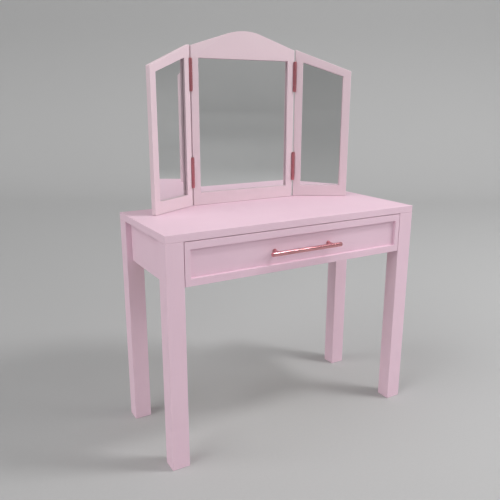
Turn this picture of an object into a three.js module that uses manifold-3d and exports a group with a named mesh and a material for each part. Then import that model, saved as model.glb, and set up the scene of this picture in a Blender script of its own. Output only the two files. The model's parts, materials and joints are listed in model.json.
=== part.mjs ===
// Miniature dressing table with a three-panel folding mirror, at one sixth of full size.
// Millimetres. +X is to the right as seen from the front, -Y is the front, +Z is up.
// The origin is on the floor, midway across the width and midway between the front of the
// handle and the screw heads at the back.
import * as THREE from "three";
import { mergeVertices } from "three/addons/utils/BufferGeometryUtils.js";
import Module from "manifold-3d";

const wasm = await Module();
wasm.setup();

// ---- Table -------------------------------------------------------------------------------
const WIDTH = 157.6; // across the outer faces of the legs and the top board
const DEPTH = 66; // front to back, likewise
const TABLE_H = 125; // floor to the upper face of the top board
const TOP_T = 3.9;
const LEG_X = 9.6;
const LEG_Y = 8.75;
const APRON_Z = 98.7; // lower edge of the side and back aprons
const APRON_T = 3;
const SIDE_INSET = 3.1; // side aprons stand back from the outer faces of the legs
const RAIL = { z: [98.7, 100.6], y: [-29.6, -24.6] }; // under the drawer, behind its front
const JOINT = 0.05; // glue line left between touching pieces

// ---- Drawer ------------------------------------------------------------------------------
const FRONT_T = 3;
const FRONT_Z = [98.4, 120.75];
const FRONT_SIDE_GAP = 0.3; // between the drawer front and each leg
const BORDER = { stile: 3, rail: 3.9 }; // plain border round the sunk panel of the drawer front
const PANEL_SINK = 1.55; // depth of the sunk panel
const PANEL_DRAFT = 0.15; // how much the sunk panel's edge leans outward
const BOX_Z = [100.8, 119.9]; // drawer sides
const BOX_BACK_Y = 20;
const SIDE_T = 2;
const BOX_OUT_X = 68.6;
const BOTTOM_Z = [102, 103];
const GROOVE = 0.7; // how far the bottom enters the sides, front and back
const GROOVE_PLAY = 0.1;
const CATCH_BACK_Y = -24.7; // the drawer back meets this block when the drawer is pulled out

// ---- Handle ------------------------------------------------------------------------------
const BAR_R = 1.2;
const BAR_L = 45;
const BAR_Y = -37.2;
const BAR_Z = 109.4;
const POST_X = 17.5;

// ---- Mirror ------------------------------------------------------------------------------
const MIRROR_FRONT_Y = 30.1; // front face of the centre frame
const CENTRE_T = 2.9;
const WING_T = 2.6;
const AXIS_X = 35.05; // hinge axes, either side
const AXIS_AHEAD = 0.3; // hinge axis in front of the frames' front faces
const SEAM_HALF = 0.3; // from a hinge axis to the edge of either frame
const WING_REACH = 34.85; // from the hinge axis to the wing's free edge
const WING_FOLD = THREE.MathUtils.degToRad(29.8); // wings stand this far forward of the centre
const WING_LIFT = 0.15; // wings clear the top board
const SHOULDER_Z = 214.5; // top of the centre frame at the seams
const CROWN_SLOPE = THREE.MathUtils.degToRad(17.4);
const CROWN_R = 37; // the two slopes run into this arc
const CENTRE_OPEN = { x: 30, z: [132.4, 208.1] };
const WING_TOP_Z = [215, 202.5]; // at the hinge edge and at the free edge
const WING_STILE = 4.8;
const WING_OPEN_Z = { low: 132.1, highHinge: 207.7, highFree: 199.5 };
const GLASS_SINK = 1.55; // mirror face behind the front of its frame
const REBATE = 1.3; // ledge that holds the mirror, all round the opening
const GLASS_T = 0.5;
const REBATE_PLAY = 0.12;

// ---- Hinges ------------------------------------------------------------------------------
const HINGES = { lower: [136, 152.9], upper: [190.5, 207.6] };
const BARREL_R = 1;
const PIN_R = 0.5;
const PIN_HOLE_R = 0.56;
const PIN_HEAD = { r: 0.8, h: 0.35 };
const LEAF_T = 0.4;
const LEAF_Y = [0.12, 2.3]; // how far back of the axis a leaf reaches
const KNUCKLES = 5;
const KNUCKLE_GAP = 0.12;
const MORTISE_PLAY = 0.1;
const BARREL_CLEAR = 0.15;

// ---- Mirror battens and their screws -----------------------------------------------------
const BATTEN = { x: [29.6, 34.6], z: [103, 166], t: 2 };
const SCREW_X = 32.7;
const SCREW_Z = [108, 117, 142, 160];
const SCREW = { head: 1.1, headH: 0.5, shank: 0.4, length: 3.5 };

const PAINT = { color: 0xe6c8d2, roughness: 0.42, metalness: 0 };
const BACKING = { color: 0xdcbcc8, roughness: 0.55, metalness: 0 };
const BASSWOOD = { color: 0xdcc3a0, roughness: 0.65, metalness: 0 };
const MIRROR = { color: 0xb8bcbc, roughness: 0.04, metalness: 1 };
const ROSE_GOLD = { color: 0xc88a86, roughness: 0.24, metalness: 1 };
const STEEL = { color: 0xa9a6a2, roughness: 0.35, metalness: 1 };

const SIDES = { left: -1, right: 1 };

function add(group, name, geometry, look) {
  const mesh = new THREE.Mesh(geometry, new THREE.MeshStandardMaterial(look));
  mesh.name = name;
  group.add(mesh);
  return mesh;
}

// A box given by its low and high limits along each axis, in either order.
function boxGeometry(x, y, z) {
  const g = new THREE.BoxGeometry(Math.abs(x[1] - x[0]), Math.abs(y[1] - y[0]), Math.abs(z[1] - z[0]));
  return g.translate((x[0] + x[1]) / 2, (y[0] + y[1]) / 2, (z[0] + z[1]) / 2);
}

// The limits of a span on one side of the middle plane.
const across = (side, span) => span.map((v) => side * v);

function asSolid(geometry) {
  const bare = geometry.clone();
  bare.deleteAttribute("normal");
  bare.deleteAttribute("uv");
  const merged = mergeVertices(bare, 1e-4);
  return new wasm.Manifold(
    new wasm.Mesh({
      numProp: 3,
      vertProperties: merged.attributes.position.array,
      triVerts: new Uint32Array(merged.index.array),
    }),
  );
}

function asGeometry(solid) {
  const mesh = solid.getMesh();
  const indexed = new THREE.BufferGeometry();
  indexed.setAttribute("position", new THREE.BufferAttribute(mesh.vertProperties, 3));
  indexed.setIndex(new THREE.BufferAttribute(mesh.triVerts, 1));
  const flat = indexed.toNonIndexed();
  flat.computeVertexNormals();
  return flat;
}

// The first geometry with all the others cut out of it.
function cut(geometry, tools) {
  return asGeometry(tools.reduce((left, tool) => left.subtract(asSolid(tool)), asSolid(geometry)));
}

// A flat outline in the X-Z plane, given as [x, z] corners, made into a board from y0 to y1.
function board(outline, y0, y1) {
  const shape = new THREE.Shape(outline.map(([x, z]) => new THREE.Vector2(x, z)));
  const g = new THREE.ExtrudeGeometry(shape, { depth: y1 - y0, bevelEnabled: false });
  return g.rotateX(Math.PI / 2).translate(0, y1, 0);
}

// A round bar or tube-cutting tool along Z, centred on x, y.
function upright(r, x, y, z0, z1, sides = 24) {
  const g = new THREE.CylinderGeometry(r, r, z1 - z0, sides);
  return g.rotateX(Math.PI / 2).translate(x, y, (z0 + z1) / 2);
}

// A turned shape along Y: profile is [radius, y] from one end of the axis to the other.
function turnedAlongY(profile, x, z, sides = 20) {
  const points = profile.map(([r, y]) => new THREE.Vector2(r, y));
  return new THREE.LatheGeometry(points, sides).translate(x, 0, z);
}

// ---- Legs, top board, aprons -------------------------------------------------------------
const table = new THREE.Group();
const halfW = WIDTH / 2;
const halfD = DEPTH / 2;
const underTop = TABLE_H - TOP_T;
const legInX = halfW - LEG_X;
const legInY = halfD - LEG_Y;

add(table, "table_top", boxGeometry([-halfW, halfW], [-halfD, halfD], [underTop, TABLE_H]), PAINT);
for (const [sideName, side] of Object.entries(SIDES)) {
  for (const [endName, end] of [["front", -1], ["back", 1]]) {
    const leg = boxGeometry(
      across(side, [legInX, halfW]), across(end, [legInY, halfD]), [0, underTop - JOINT],
    );
    add(table, `leg_${endName}_${sideName}`, leg, PAINT);
  }
  const outX = halfW - SIDE_INSET;
  const betweenLegs = [-legInY + JOINT, legInY - JOINT];
  const apron = boxGeometry(
    across(side, [outX - APRON_T, outX]), betweenLegs, [APRON_Z, underTop - JOINT],
  );
  add(table, `side_apron_${sideName}`, apron, PAINT);
  // The drawer's sides slide on this strip, which is fixed to the inside of the side apron.
  const runner = boxGeometry(
    across(side, [BOX_OUT_X - 4, outX - APRON_T - JOINT]), betweenLegs, RAIL.z,
  );
  add(table, `drawer_runner_${sideName}`, runner, BASSWOOD);
  // A block on the runner stops the drawer with its front flush with the legs.
  const stop = boxGeometry(
    across(side, [BOX_OUT_X - 3.6, BOX_OUT_X]), [BOX_BACK_Y + 0.15, BOX_BACK_Y + 3.8],
    [RAIL.z[1] + JOINT, RAIL.z[1] + 3.4],
  );
  add(table, `drawer_stop_${sideName}`, stop, BASSWOOD);
}
const frontRail = boxGeometry([-legInX + JOINT, legInX - JOINT], RAIL.y, RAIL.z);
add(table, "front_rail", frontRail, PAINT);
const pullStop = boxGeometry([-9, 9], [CATCH_BACK_Y - 3, CATCH_BACK_Y], [RAIL.z[1] + JOINT, BOTTOM_Z[0] - 0.25]);
add(table, "drawer_catch", pullStop, BASSWOOD);

// ---- Screws: slotted pan heads, and the holes they sit in --------------------------------
// headY is the plane under the head; toward is +1 when the tip points to +Y, otherwise -1.
function screw(x, z, headY, toward) {
  const { head, headH, shank, length } = SCREW;
  const profile = [
    [0, -headH], [head * 0.7, -headH], [head, -headH * 0.55], [head, 0],
    [shank, 0], [shank, length - 0.4], [0, length],
  ].map(([r, y]) => [r, headY + toward * y]);
  const body = turnedAlongY(toward > 0 ? profile : profile.reverse(), x, z, 16);
  const slot = boxGeometry([x - 2, x + 2], [headY - toward * 2, headY - toward * headH * 0.5], [z - 0.16, z + 0.16]);
  return cut(body, [slot]);
}

function screwHole(x, z, y0, y1) {
  return new THREE.CylinderGeometry(SCREW.shank + 0.06, SCREW.shank + 0.06, y1 - y0, 16)
    .translate(x, (y0 + y1) / 2, z);
}

const tipY = halfD + JOINT + BATTEN.t - SCREW.length; // tips of the batten screws
const battenHoles = (side, zs) =>
  zs.map((z) => screwHole(side * SCREW_X, z, tipY - 0.1, halfD + BATTEN.t + 1));

const backApron = boxGeometry(
  [-legInX + JOINT, legInX - JOINT], [halfD - APRON_T, halfD], [APRON_Z, underTop - JOINT],
);
const apronHoles = Object.values(SIDES).flatMap((side) => battenHoles(side, SCREW_Z.slice(0, 2)));
add(table, "back_apron", cut(backApron, apronHoles), PAINT);

// ---- Hinges ------------------------------------------------------------------------------
// Butt hinges with their axis at x = 0, y = 0. A leaf lies against the frame edge on the side
// given by dir, and carries every second knuckle; the wing's leaf has the two between.
function hingeLeaf(dir, [z0, z1], first) {
  const pitch = (z1 - z0 + KNUCKLE_GAP) / KNUCKLES;
  const plate = boxGeometry(across(dir, [SEAM_HALF, SEAM_HALF + LEAF_T]), LEAF_Y, [z0, z1]);
  let leaf = asSolid(plate);
  for (let i = 0; i < KNUCKLES; i++) {
    const low = z0 + i * pitch;
    const high = low + pitch - KNUCKLE_GAP;
    leaf =
      i % 2 === first
        ? leaf.add(asSolid(upright(BARREL_R, 0, 0, low, high)))
        : leaf.subtract(
            asSolid(upright(BARREL_R + 0.1, 0, 0, low - KNUCKLE_GAP, high + KNUCKLE_GAP)),
          );
  }
  return asGeometry(leaf.subtract(asSolid(upright(PIN_HOLE_R, 0, 0, z0 - 1, z1 + 1))));
}

function hingePin([z0, z1]) {
  const { r, h } = PIN_HEAD;
  const points = [
    [0, z0 - 0.05 - h], [r, z0 - 0.05 - h], [r, z0 - 0.05], [PIN_R, z0 - 0.05],
    [PIN_R, z1 + 0.05], [r, z1 + 0.05], [r, z1 + 0.05 + h], [0, z1 + 0.05 + h],
  ].map(([radius, z]) => new THREE.Vector2(radius, z));
  return new THREE.LatheGeometry(points, 20).rotateX(Math.PI / 2);
}

// What a hinge needs cut from the frame on the side dir: a mortise for the leaf and a hollow
// for the barrel and the heads of the pin.
function hingeRecess(dir, [z0, z1]) {
  const p = MORTISE_PLAY;
  const reach = PIN_HEAD.h + 0.15;
  return [
    boxGeometry(across(dir, [-1, SEAM_HALF + LEAF_T + p]), [-2, LEAF_Y[1] + p], [z0 - p, z1 + p]),
    upright(BARREL_R + BARREL_CLEAR, 0, 0, z0 - reach, z1 + reach),
  ];
}

// ---- Centre mirror -----------------------------------------------------------------------
const centreHalf = AXIS_X - SEAM_HALF;
const centreBackY = MIRROR_FRONT_Y + CENTRE_T;
const axisY = MIRROR_FRONT_Y - AXIS_AHEAD;

// The head of the centre frame: two straight slopes joined by an arc over the middle.
function crown() {
  const arcHalf = CROWN_R * Math.sin(CROWN_SLOPE);
  const arcEndZ = SHOULDER_Z + (centreHalf - arcHalf) * Math.tan(CROWN_SLOPE);
  const arcZ = arcEndZ - CROWN_R * Math.cos(CROWN_SLOPE);
  const points = [[centreHalf, SHOULDER_Z]];
  const steps = 16;
  for (let i = 0; i <= steps; i++) {
    const a = CROWN_SLOPE * (1 - (2 * i) / steps);
    points.push([CROWN_R * Math.sin(a), arcZ + CROWN_R * Math.cos(a)]);
  }
  points.push([-centreHalf, SHOULDER_Z]);
  return points;
}

// An opening with its glass and back board: the opening's corners, and the same corners
// moved out by the ledge, less the play, for the pieces that lie in the rebate.
function panelled(corners, grow) {
  const cx = corners.reduce((sum, [x]) => sum + x, 0) / corners.length;
  const cz = corners.reduce((sum, [, z]) => sum + z, 0) / corners.length;
  return corners.map(([x, z]) => [x + Math.sign(x - cx) * grow, z + Math.sign(z - cz) * grow]);
}

function mirrorPanel(group, prefix, outline, corners, frontY, thickness, tools) {
  const backY = frontY + thickness;
  const glassY = frontY + GLASS_SINK;
  const frame = cut(board(outline, frontY, backY), [
    board(corners, frontY - 1, backY + 1),
    board(panelled(corners, REBATE), glassY, backY + 1),
    ...tools,
  ]);
  add(group, `${prefix}_frame`, frame, PAINT);
  const inRebate = panelled(corners, REBATE - REBATE_PLAY);
  const glass = [glassY + 0.06, glassY + 0.06 + GLASS_T];
  add(group, `${prefix}_mirror`, board(inRebate, ...glass), MIRROR);
  add(group, `${prefix}_back_board`, board(inRebate, glass[1] + 0.06, backY - 0.06), BACKING);
}

const { x: openX, z: [openLow, openHigh] } = CENTRE_OPEN;
const centreTools = Object.values(SIDES).flatMap((side) => [
  ...Object.values(HINGES).flatMap((z) => hingeRecess(-side, z)).map((g) => g.translate(side * AXIS_X, axisY, 0)),
  ...battenHoles(side, SCREW_Z.slice(2)),
]);
mirrorPanel(
  table, "centre",
  [[-centreHalf, TABLE_H + JOINT], [centreHalf, TABLE_H + JOINT], ...crown()],
  [[-openX, openLow], [openX, openLow], [openX, openHigh], [-openX, openHigh]],
  MIRROR_FRONT_Y, CENTRE_T, centreTools,
);

// ---- Battens that hold the mirror to the back apron --------------------------------------
for (const [sideName, side] of Object.entries(SIDES)) {
  const y = [halfD + JOINT, halfD + JOINT + BATTEN.t];
  const strip = boxGeometry(across(side, BATTEN.x), y, BATTEN.z);
  add(table, `batten_${sideName}`, cut(strip, battenHoles(side, SCREW_Z)), PAINT);
  SCREW_Z.forEach((z, i) => {
    add(table, `batten_screw_${sideName}_${i + 1}`, screw(side * SCREW_X, z, y[1] + 0.02, -1), STEEL);
  });
}

// ---- Folding wings -----------------------------------------------------------------------
const wings = {};
for (const [sideName, side] of Object.entries(SIDES)) {
  const wing = new THREE.Group();
  const x0 = side * SEAM_HALF;
  const x1 = side * WING_REACH;
  const openX0 = x0 + side * WING_STILE;
  const openX1 = x1 - side * WING_STILE;
  const low = TABLE_H + WING_LIFT;
  const { low: openZ, highHinge, highFree } = WING_OPEN_Z;
  mirrorPanel(
    wing, `wing_${sideName}`,
    [[x0, low], [x1, low], [x1, WING_TOP_Z[1]], [x0, WING_TOP_Z[0]]],
    [[openX0, openZ], [openX1, openZ], [openX1, highFree], [openX0, highHinge]],
    AXIS_AHEAD, WING_T, Object.values(HINGES).flatMap((z) => hingeRecess(side, z)),
  );
  for (const [level, z] of Object.entries(HINGES)) {
    add(wing, `hinge_${level}_${sideName}_wing_leaf`, hingeLeaf(side, z, 1), ROSE_GOLD);
    const fixed = add(table, `hinge_${level}_${sideName}_fixed_leaf`, hingeLeaf(-side, z, 0), ROSE_GOLD);
    const pin = add(table, `hinge_${level}_${sideName}_pin`, hingePin(z), ROSE_GOLD);
    for (const piece of [fixed, pin]) piece.position.set(side * AXIS_X, axisY, 0);
  }
  wing.position.set(side * AXIS_X, axisY, 0);
  wing.rotation.z = -side * WING_FOLD;
  wings[sideName] = wing;
}

// ---- Drawer ------------------------------------------------------------------------------
const drawer = new THREE.Group();
const frontX = legInX - FRONT_SIDE_GAP;
const frontBackY = -halfD + FRONT_T;
const sideInX = BOX_OUT_X - SIDE_T;
const backY = [BOX_BACK_Y - SIDE_T, BOX_BACK_Y];
const grooveZ = [BOTTOM_Z[0] - GROOVE_PLAY, BOTTOM_Z[1] + GROOVE_PLAY];
const bottomX = sideInX + GROOVE;
const bottomY = [frontBackY - GROOVE, backY[0] + GROOVE];
// One cutter makes the groove in every board that the bottom enters.
const groove = boxGeometry(
  [-bottomX - GROOVE_PLAY, bottomX + GROOVE_PLAY],
  [bottomY[0] - GROOVE_PLAY, bottomY[1] + GROOVE_PLAY], grooveZ,
);

// Drawer front: a plain border round a sunk panel with steep edges.
function drawerFront() {
  const floorX = frontX - BORDER.stile - PANEL_DRAFT;
  const inset = BORDER.rail + PANEL_DRAFT;
  const floorZ = [FRONT_Z[0] + inset, FRONT_Z[1] - inset];
  const panel = new THREE.Shape(
    [[-floorX, floorZ[0]], [floorX, floorZ[0]], [floorX, floorZ[1]], [-floorX, floorZ[1]]]
      .map(([x, z]) => new THREE.Vector2(x, z)),
  );
  const sunk = new THREE.ExtrudeGeometry(panel, {
    depth: 2, bevelThickness: PANEL_SINK, bevelSize: PANEL_DRAFT, bevelSegments: 1,
  }).rotateX(Math.PI / 2);
  sunk.computeBoundingBox();
  sunk.translate(0, -halfD + PANEL_SINK - sunk.boundingBox.max.y, 0);
  const slab = boxGeometry([-frontX, frontX], [-halfD, frontBackY], FRONT_Z);
  const holes = [-POST_X, POST_X].map((x) => screwHole(x, BAR_Z, -halfD - 1, frontBackY + 1));
  return cut(slab, [sunk, groove, ...holes]);
}

add(drawer, "drawer_front", drawerFront(), PAINT);
for (const [sideName, side] of Object.entries(SIDES)) {
  const wall = boxGeometry(
    across(side, [sideInX, BOX_OUT_X]), [frontBackY + JOINT, BOX_BACK_Y], BOX_Z,
  );
  add(drawer, `drawer_side_${sideName}`, cut(wall, [groove]), BASSWOOD);
}
const drawerBack = boxGeometry([-sideInX + JOINT, sideInX - JOINT], backY, BOX_Z);
add(drawer, "drawer_back", cut(drawerBack, [groove]), BASSWOOD);
add(drawer, "drawer_bottom", boxGeometry([-bottomX, bottomX], bottomY, BOTTOM_Z), BASSWOOD);

// ---- Handle: a bar on two posts, each held by a screw from inside the drawer -------------
const half = BAR_L / 2;
const barProfile = [[0, -half], [BAR_R - 0.3, -half], [BAR_R, -half + 0.3], [BAR_R, half - 0.3], [BAR_R - 0.3, half], [0, half]];
const barGeometry = (extra) => {
  const points = barProfile.map(([r, x]) => new THREE.Vector2(r > 0 ? r + extra : 0, x));
  return new THREE.LatheGeometry(points, 40).rotateZ(-Math.PI / 2).translate(0, BAR_Y, BAR_Z);
};
add(drawer, "handle_bar", barGeometry(0), ROSE_GOLD);
const postFootY = -halfD + PANEL_SINK - JOINT;
const screwHeadY = frontBackY + 0.02;
for (const [sideName, side] of Object.entries(SIDES)) {
  const x = side * POST_X;
  const post = turnedAlongY(
    [[0, BAR_Y], [0.85, BAR_Y], [0.85, postFootY - 1.1], [1.3, postFootY - 0.6], [1.3, postFootY], [0, postFootY]],
    x, BAR_Z, 32,
  );
  const tapped = screwHole(x, BAR_Z, screwHeadY - SCREW.length - 0.1, 0);
  add(drawer, `handle_post_${sideName}`, cut(post, [barGeometry(0.03), tapped]), ROSE_GOLD);
  add(drawer, `handle_screw_${sideName}`, screw(x, BAR_Z, screwHeadY, -1), STEEL);
}

// ---- Whole object, centred front to back on its full extent ------------------------------
const frontmost = BAR_Y - BAR_R;
const backmost = halfD + JOINT + BATTEN.t + 0.02 + SCREW.headH;
const dressingTable = new THREE.Group();
dressingTable.add(table, drawer, wings.left, wings.right);
dressingTable.position.y = -(frontmost + backmost) / 2;
const root = new THREE.Group();
root.add(dressingTable);

export default root;
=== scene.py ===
# Miniature dressing table: looks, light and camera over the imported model. Metres, +Z up, front at -Y.
import json
import math

import bmesh
import bpy
from mathutils import Matrix, Vector


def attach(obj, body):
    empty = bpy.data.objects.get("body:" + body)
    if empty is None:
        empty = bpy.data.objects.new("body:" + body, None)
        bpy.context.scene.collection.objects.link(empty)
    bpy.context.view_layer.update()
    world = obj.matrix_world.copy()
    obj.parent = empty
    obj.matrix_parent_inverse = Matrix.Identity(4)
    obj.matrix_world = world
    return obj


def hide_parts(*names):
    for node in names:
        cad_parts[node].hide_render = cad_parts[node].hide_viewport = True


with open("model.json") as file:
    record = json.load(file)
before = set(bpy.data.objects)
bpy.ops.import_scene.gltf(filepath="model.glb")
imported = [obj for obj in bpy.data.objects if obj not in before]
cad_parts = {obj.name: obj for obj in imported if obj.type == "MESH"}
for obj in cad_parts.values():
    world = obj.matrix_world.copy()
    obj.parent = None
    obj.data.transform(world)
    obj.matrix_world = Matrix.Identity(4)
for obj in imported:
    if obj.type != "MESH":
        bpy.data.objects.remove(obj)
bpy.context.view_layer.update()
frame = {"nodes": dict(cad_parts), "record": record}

MM = 0.001
X, Y, Z = range(3)
NODES = frame["nodes"]
SIDES = ("left", "right")
SCREWS_PER_BATTEN = 4

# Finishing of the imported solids. Distances in metres, and the angle between two faces.
WELD = 2e-6
TINY = 5e-7
FLAT_BEND = math.radians(0.4)  # less than this is one flat face
EDGE_BEND = math.radians(28)  # more than this is an edge to ease
SHARP_BEND = math.radians(36)  # from this on the shading breaks

# Camera, fitted to the photo: turned to the right, tilted down and rolled, in radians.
AZ, EL, ROLL = 0.52691, 0.26192, 0.00208
CAMERA_AT = (-0.17222, -0.27064, 0.18655)
FOCAL_MM, SENSOR_MM = 40.833, 36

# Stage, in metres from the world's origin.
FLOOR_REACH = 9.0
WALL_START, WALL_BEND, WALL_HEIGHT = 0.72, 0.35, 4.0
RIM_RADIUS = 5.0
SEAM = 1e-5
BEND_STEPS, TURN_STEPS, LEAN_STEPS = 16, 32, 15
SURROUND = 0.276  # brightness of the even light all round

# ---- Materials ---------------------------------------------------------------------------


class Look:
    """A node material with a Principled shader, and short calls for the nodes it needs.

    Where nodes drive the roughness, the plain value is only what a viewer without nodes shows.
    """

    def __init__(self, name, roughness, metallic=0.0, **sockets):
        self.mat = bpy.data.materials.new(name)
        self.mat.use_nodes = True
        self.tree = self.mat.node_tree
        self.bsdf = self.tree.nodes["Principled BSDF"]
        self.bsdf.inputs["Metallic"].default_value = metallic
        self.bsdf.inputs["Roughness"].default_value = roughness
        for socket, value in sockets.items():
            self.bsdf.inputs[socket.replace("_", " ")].default_value = value

    def node(self, kind, **settings):
        n = self.tree.nodes.new(kind)
        for key, value in settings.items():
            setattr(n, key, value)
        return n

    def link(self, out, into):
        self.tree.links.new(out, into)

    def coords(self, scale):
        """Object coordinates stretched by scale along each axis."""
        tex = self.node("ShaderNodeTexCoord")
        mapping = self.node("ShaderNodeMapping")
        mapping.inputs["Scale"].default_value = scale
        self.link(tex.outputs["Object"], mapping.inputs["Vector"])
        return mapping.outputs["Vector"]

    def noise(self, scale, detail, roughness=0.5, distortion=0.0):
        n = self.node("ShaderNodeTexNoise")
        n.inputs["Scale"].default_value = 1.0
        n.inputs["Detail"].default_value = detail
        n.inputs["Roughness"].default_value = roughness
        n.inputs["Distortion"].default_value = distortion
        self.link(self.coords(scale), n.inputs["Vector"])
        return n.outputs["Fac"]

    def ramp(self, fac, stops):
        n = self.node("ShaderNodeValToRGB")
        while len(n.color_ramp.elements) < len(stops):
            n.color_ramp.elements.new(0.5)
        for element, (at, value) in zip(n.color_ramp.elements, stops):
            element.position = at
            rgb = value if isinstance(value, tuple) else (value,) * 3
            element.color = (*rgb, 1)
        self.link(fac, n.inputs["Fac"])
        return n.outputs["Color"]

    def mix(self, fac, a, b, blend="MIX"):
        n = self.node("ShaderNodeMix", data_type="RGBA", blend_type=blend)
        for value, socket in ((fac, n.inputs[0]), (a, n.inputs[6]), (b, n.inputs[7])):
            if hasattr(value, "node"):
                self.link(value, socket)
            elif isinstance(value, tuple):
                socket.default_value = (*value, 1)
            else:
                socket.default_value = value
        return n.outputs[2]

    def colour(self, out):
        self.link(out, self.bsdf.inputs["Base Color"])

    def rough(self, fac, *stops):
        """Roughness by the (position, value) stops of a ramp."""
        self.link(self.ramp(fac, stops), self.bsdf.inputs["Roughness"])

    def edges(self, low, high):
        """Goes from 0 to 1 on outward edges."""
        geometry = self.node("ShaderNodeNewGeometry")
        return self.ramp(geometry.outputs["Pointiness"], [(low, 0.0), (high, 1.0)])

    def bump(self, heights):
        """Stacks (height, strength, distance in metres) into the shader's normal."""
        normal = None
        for height, strength, distance in heights:
            n = self.node("ShaderNodeBump")
            n.inputs["Strength"].default_value = strength
            n.inputs["Distance"].default_value = distance
            self.link(height, n.inputs["Height"])
            if normal is not None:
                self.link(normal, n.inputs["Normal"])
            normal = n.outputs["Normal"]
        self.link(normal, self.bsdf.inputs["Normal"])


def along(axis, fine, coarse):
    """Noise scale with one value along an axis and another across it."""
    return tuple(coarse if i == axis else fine for i in range(3))


def paint(name, axis, pale, deep, white):
    """Soft matt pink paint, brushed along the given axis, with a painted highlight of paler pink on the
    outward edges.
    """
    look = Look(f"{name}_{'xyz'[axis]}", roughness=0.58, Specular_IOR_Level=0.3)
    tone = look.ramp(look.noise((22, 22, 22), 2.0), [(0.3, deep), (0.7, pale)])
    grain = look.noise(along(axis, 2600, 120), 4.0, 0.6)
    streak = look.ramp(grain, [(0.35, 0.985), (0.6, 1.0)])
    # Painted highlight: outward edges are tinted towards the paler third colour, standing in for edge
    # highlights.
    painted_edge_highlight = look.mix(look.edges(0.51, 0.57), (0.0, 0.0, 0.0), (0.25, 0.25, 0.25))
    colour = look.mix(1.0, tone, streak, "MULTIPLY")
    look.colour(look.mix(painted_edge_highlight, colour, white))
    look.rough(look.noise((60, 60, 60), 3.0), (0.3, 0.52), (0.7, 0.64))
    look.bump([(grain, 0.08, 0.00005), (look.noise((1500, 1500, 1500), 2.0), 0.06, 0.00005)])
    return look.mat


def basswood(axis):
    """Bare pale basswood, grain along the given axis."""
    look = Look(f"basswood_{'xyz'[axis]}", roughness=0.6)
    bands = look.noise(along(axis, 420, 9), 5.0, 0.55, 0.4)
    pores = look.noise(along(axis, 3600, 160), 3.0, 0.6)
    early, middle, late = (0.60, 0.43, 0.26), (0.72, 0.54, 0.35), (0.78, 0.61, 0.42)
    tone = look.ramp(bands, [(0.3, early), (0.5, middle), (0.72, late)])
    look.colour(look.mix(1.0, tone, look.ramp(pores, [(0.33, 0.82), (0.5, 1.0)]), "MULTIPLY"))
    look.rough(pores, (0.3, 0.72), (0.7, 0.55))
    look.bump([(pores, 0.3, 0.00006)])
    return look.mat


def backing():
    """Thin board with one rolled coat of pink paint."""
    look = Look("backing_board", roughness=0.6)
    stipple = look.noise((1900, 1900, 1900), 3.0, 0.6)
    cloud = look.noise((35, 35, 35), 4.0)
    look.colour(look.ramp(cloud, [(0.3, (0.74, 0.52, 0.59)), (0.7, (0.80, 0.58, 0.65))]))
    look.rough(stipple, (0.3, 0.52), (0.7, 0.68))
    look.bump([(stipple, 0.35, 0.00008)])
    return look.mat


def mirror():
    """Silvered glass, clean but for the faintest wiping haze."""
    look = Look("mirror_silver", roughness=0.02, metallic=1.0)
    haze = look.noise((45, 45, 45), 5.0, 0.6)
    look.colour(look.ramp(haze, [(0.35, (0.83, 0.838, 0.838)), (0.7, (0.855, 0.861, 0.858))]))
    look.rough(haze, (0.4, 0.008), (0.75, 0.03))
    return look.mat


def rose_gold(name, axis, deep, pale, rough, fine, relief):
    """Rose gold plate, with the faint lines of polishing round the given axis."""
    look = Look(name, roughness=0.2, metallic=1.0)
    lines = look.noise(along(axis, 90, fine), 3.0, 0.6)
    cloud = look.noise((160, 160, 160), 4.0, 0.6)
    look.colour(look.ramp(cloud, [(0.3, deep), (0.7, pale)]))
    look.rough(lines, (0.3, rough - 0.05), (0.7, rough + 0.06))
    look.bump([(lines, relief, 0.00002)])
    return look.mat


def steel():
    """Plain steel screw heads, turned and lightly tarnished."""
    look = Look("screw_steel", roughness=0.32, metallic=1.0)
    spots = look.noise((1400, 1400, 1400), 4.0, 0.7)
    look.colour(look.ramp(spots, [(0.35, (0.42, 0.40, 0.38)), (0.6, (0.62, 0.60, 0.58))]))
    look.rough(spots, (0.3, 0.42), (0.7, 0.26))
    look.bump([(look.noise((6000, 300, 6000), 2.0), 0.15, 0.00002)])
    return look.mat


# The third colour of each paint is its painted edge highlight.
PAINT = [
    paint("pink_paint", axis, (0.844, 0.604, 0.713), (0.809, 0.574, 0.680), (0.865, 0.650, 0.743))
    for axis in (X, Y, Z)
]
FRAME_PAINT = paint(
    "pink_frame_paint", Z, (0.783, 0.621, 0.675), (0.753, 0.593, 0.645), (0.803, 0.662, 0.703)
)
WOOD = [basswood(axis) for axis in (X, Y, Z)]
BACKING = backing()
MIRROR = mirror()
BAR_GOLD = rose_gold("rose_gold_bar", X, (0.73, 0.33, 0.36), (0.82, 0.385, 0.41), 0.24, 5200, 0.05)
HINGE_GOLD = rose_gold("rose_gold_hinge", Z, (0.66, 0.25, 0.28), (0.76, 0.30, 0.33), 0.4, 2600, 0.02)
STEEL = steel()

# ---- Pieces ------------------------------------------------------------------------------


def body_of(node):
    """The body that the node moves with."""
    return next(b for b, members in frame["record"]["behaviour"]["bodies"].items() if node in members)


def smooth_object(name, bm, material):
    """A new object from a finished bmesh, smooth shaded."""
    mesh = bpy.data.meshes.new(name)
    bm.to_mesh(mesh)
    bm.free()
    for polygon in mesh.polygons:
        polygon.use_smooth = True
    mesh.materials.append(material)
    obj = bpy.data.objects.new(name, mesh)
    bpy.context.scene.collection.objects.link(obj)
    return obj


def stand_for(node, bm, material):
    """Puts the finished piece in the place of its plain solid."""
    piece = smooth_object(node + "_finish", bm, material)
    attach(piece, body_of(node))
    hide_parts(node)
    weighted = piece.modifiers.new("normals", "WEIGHTED_NORMAL")
    weighted.keep_sharp = True


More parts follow.
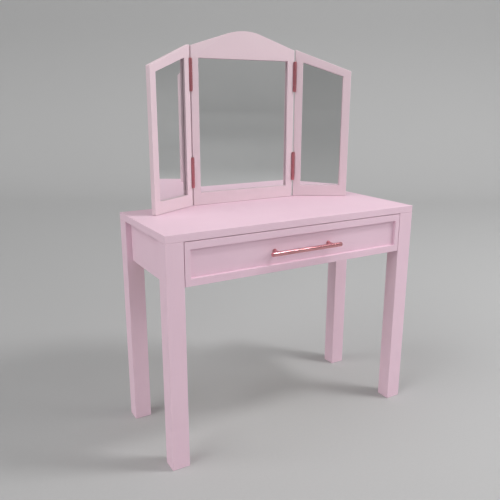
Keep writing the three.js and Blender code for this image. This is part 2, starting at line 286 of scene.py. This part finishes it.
def eased(node, material, radius, shortest=2.5, segments=3):
    """The node's own shape, with the edges longer than shortest eased to a radius, in millimetres."""
    bm = bmesh.new()
    bm.from_mesh(NODES[node].data)
    bmesh.ops.remove_doubles(bm, verts=bm.verts, dist=WELD)
    bmesh.ops.dissolve_limit(bm, angle_limit=FLAT_BEND, verts=bm.verts, edges=bm.edges)
    long_edges = [
        e for e in bm.edges
        if e.is_manifold and e.calc_face_angle() > EDGE_BEND and e.calc_length() > shortest * MM
    ]
    bmesh.ops.bevel(
        bm, geom=long_edges, offset=radius * MM, offset_type="OFFSET", segments=segments,
        profile=0.5, affect="EDGES", clamp_overlap=False, loop_slide=True,
    )
    bmesh.ops.dissolve_degenerate(bm, dist=TINY, edges=bm.edges)
    for e in bm.edges:
        e.smooth = not e.is_manifold or e.calc_face_angle() < SHARP_BEND
    stand_for(node, bm, material)


eased("table_top", PAINT[X], 0.2)
for side in SIDES:
    for end in ("front", "back"):
        eased(f"leg_{end}_{side}", PAINT[Z], 0.25)
    eased(f"side_apron_{side}", PAINT[Y], 0.25)
    eased(f"drawer_runner_{side}", WOOD[Y], 0.15)
    eased(f"drawer_stop_{side}", WOOD[Y], 0.15)
    eased(f"drawer_side_{side}", WOOD[Y], 0.15)
    eased(f"batten_{side}", PAINT[Z], 0.3)
    eased(f"wing_{side}_frame", FRAME_PAINT, 0.25)
    eased(f"wing_{side}_mirror", MIRROR, 0.05)
    eased(f"wing_{side}_back_board", BACKING, 0.05)
    eased(f"handle_post_{side}", BAR_GOLD, 0.08, 0.05, 2)
    eased(f"handle_screw_{side}", STEEL, 0.04, 0.1, 2)
    for i in range(1, SCREWS_PER_BATTEN + 1):
        eased(f"batten_screw_{side}_{i}", STEEL, 0.04, 0.1, 2)
    for level in ("upper", "lower"):
        for part in ("fixed_leaf", "wing_leaf", "pin"):
            eased(f"hinge_{level}_{side}_{part}", HINGE_GOLD, 0.05, 0.1, 2)
eased("back_apron", PAINT[X], 0.25)
eased("front_rail", PAINT[X], 0.25)
eased("drawer_catch", WOOD[X], 0.15)
eased("centre_frame", FRAME_PAINT, 0.25)
eased("centre_mirror", MIRROR, 0.05)
eased("centre_back_board", BACKING, 0.05)
eased("drawer_front", PAINT[X], 0.16)
eased("drawer_back", WOOD[X], 0.15)
eased("drawer_bottom", WOOD[X], 0.1)
eased("handle_bar", BAR_GOLD, 0.1, 0.05)

# ---- Camera ------------------------------------------------------------------------------

forward = Vector((math.sin(AZ) * math.cos(EL), math.cos(AZ) * math.cos(EL), -math.sin(EL)))
right = forward.cross(Vector((0, 0, 1))).normalized()
up = right.cross(forward)
right, up = (
    math.cos(ROLL) * right + math.sin(ROLL) * up,
    math.cos(ROLL) * up - math.sin(ROLL) * right,
)
camera_data = bpy.data.cameras.new("camera")
camera_data.lens, camera_data.sensor_width = FOCAL_MM, SENSOR_MM
camera_data.clip_start, camera_data.clip_end = 0.01, 60
camera = bpy.data.objects.new("camera", camera_data)
turn = Matrix((right, up, -forward)).transposed().to_4x4()
camera.matrix_world = Matrix.Translation(CAMERA_AT) @ turn
bpy.context.scene.collection.objects.link(camera)
bpy.context.scene.camera = camera

# ---- Studio ------------------------------------------------------------------------------


def paper():
    """Plain pale studio paper."""
    look = Look("studio_paper", roughness=0.75, Specular_IOR_Level=0.2)
    fibre = look.noise((700, 700, 700), 4.0, 0.6)
    look.colour(look.ramp(fibre, [(0.2, 0.49), (0.8, 0.51)]))
    look.bump([(fibre, 0.05, 0.0001)])
    return look.mat


def studio(name, rows, material, shadow=True):
    """A smooth sheet through rows of points."""
    bm = bmesh.new()
    made = [[bm.verts.new(point) for point in row] for row in rows]
    for a, b in zip(made, made[1:]):
        for i in range(len(a) - 1):
            bm.faces.new((a[i], a[i + 1], b[i + 1], b[i]))
    bmesh.ops.remove_doubles(bm, verts=bm.verts, dist=SEAM)
    bmesh.ops.recalc_face_normals(bm, faces=bm.faces)
    obj = smooth_object(name, bm, material)
    obj.visible_shadow = shadow


def place(flat, height):
    """A point above a flat vector."""
    return flat + Vector((0, 0, height))


def sweep():
    """A wide floor, a wall rising close behind the table, square to the camera, and a far rim."""
    ahead = Vector((math.sin(AZ), math.cos(AZ), 0))
    aside = Vector((math.cos(AZ), -math.sin(AZ), 0))
    sheet = paper()

    bend = [math.pi / 2 * i / BEND_STEPS for i in range(BEND_STEPS + 1)]
    profile = [(0.0, 0.0)]
    profile += [(WALL_START + WALL_BEND * math.sin(a), WALL_BEND * (1 - math.cos(a))) for a in bend]
    profile.append((WALL_START + WALL_BEND, WALL_HEIGHT))
    across = (-FLOOR_REACH, -3, -1, 0, 1, 3, FLOOR_REACH)
    wall = [[place(ahead * d + aside * w, z) for w in across] for d, z in profile]
    studio("studio_sweep", wall, sheet)

    turns = [math.pi * i / TURN_STEPS for i in range(TURN_STEPS + 1)]
    ways = [aside * math.cos(t) - ahead * math.sin(t) for t in turns]
    studio("studio_floor", [[way * r for r in (0, 1, 3, FLOOR_REACH)] for way in ways], sheet)

    lean = [i / 10 for i in range(LEAN_STEPS + 1)]
    rise = [(FLOOR_REACH + RIM_RADIUS * math.sin(a), RIM_RADIUS * (1 - math.cos(a))) for a in lean]
    wall_foot = ahead * (WALL_START + WALL_BEND)
    feet = [(wall_foot, ways[0])] + [(Vector(), way) for way in ways] + [(wall_foot, ways[-1])]
    rim = [[place(foot + way * r, z) for r, z in rise] for foot, way in feet]
    studio("studio_rim", rim, sheet, shadow=False)


def aim(lamp, at, target):
    """Stands a lamp somewhere, turned to a target."""
    lamp.location = at
    lamp.rotation_mode = "QUATERNION"
    lamp.rotation_quaternion = (Vector(target) - Vector(at)).to_track_quat("-Z", "Y")
    bpy.context.scene.collection.objects.link(lamp)


def softbox(name, at, target, size, power, glossy=True):
    """A round white softbox. The mirrors show it, and metal shines with it, only where it's glossy."""
    data = bpy.data.lights.new(name, "AREA")
    data.shape, data.size, data.energy = "DISK", size, power
    lamp = bpy.data.objects.new(name, data)
    lamp.visible_glossy = glossy
    aim(lamp, at, target)


def daylight(name, toward, angle, strength):
    """Even white light from far off, in the direction given, spread over an angle in degrees."""
    data = bpy.data.lights.new(name, "SUN")
    data.angle, data.energy = math.radians(angle), strength
    lamp = bpy.data.objects.new(name, data)
    lamp.visible_glossy = False
    aim(lamp, Vector(toward), (0, 0, 0))


sweep()
world = bpy.data.worlds.new("studio")
world.use_nodes = True
world.node_tree.nodes["Background"].inputs["Color"].default_value = (SURROUND, SURROUND, SURROUND, 1)
bpy.context.scene.world = world
softbox("key", (0.306, -0.245, 0.69), (0, 0, 0.08), 0.12, 1.66)
softbox("floor_front", (0.5, -1.5, 0.9), (0.5, -1.5, 0), 1.2, 2.15, glossy=False)
softbox("floor_right", (1.5, 0.0, 0.9), (1.5, 0.0, 0), 1.2, 1.52, glossy=False)
softbox("far_front", (2.7, -4.1, 3.0), (2.7, -4.1, 0), 3.0, 11, glossy=False)
softbox("fill_right", (0.8, -0.48, 0.45), (0, 0, 0.1), 0.5, 2.36, glossy=False)
daylight("behind", (0.1, 1, 0.35), 60, 0.75)
daylight("left", (-1, -0.3, 0.15), 60, 0.56)
daylight("left_high", (-1, -0.05, 0.85), 50, 1.22)
daylight("front", (-0.1, -1, 0.35), 60, 0.32)
bpy.context.scene.view_settings.view_transform = "Standard"
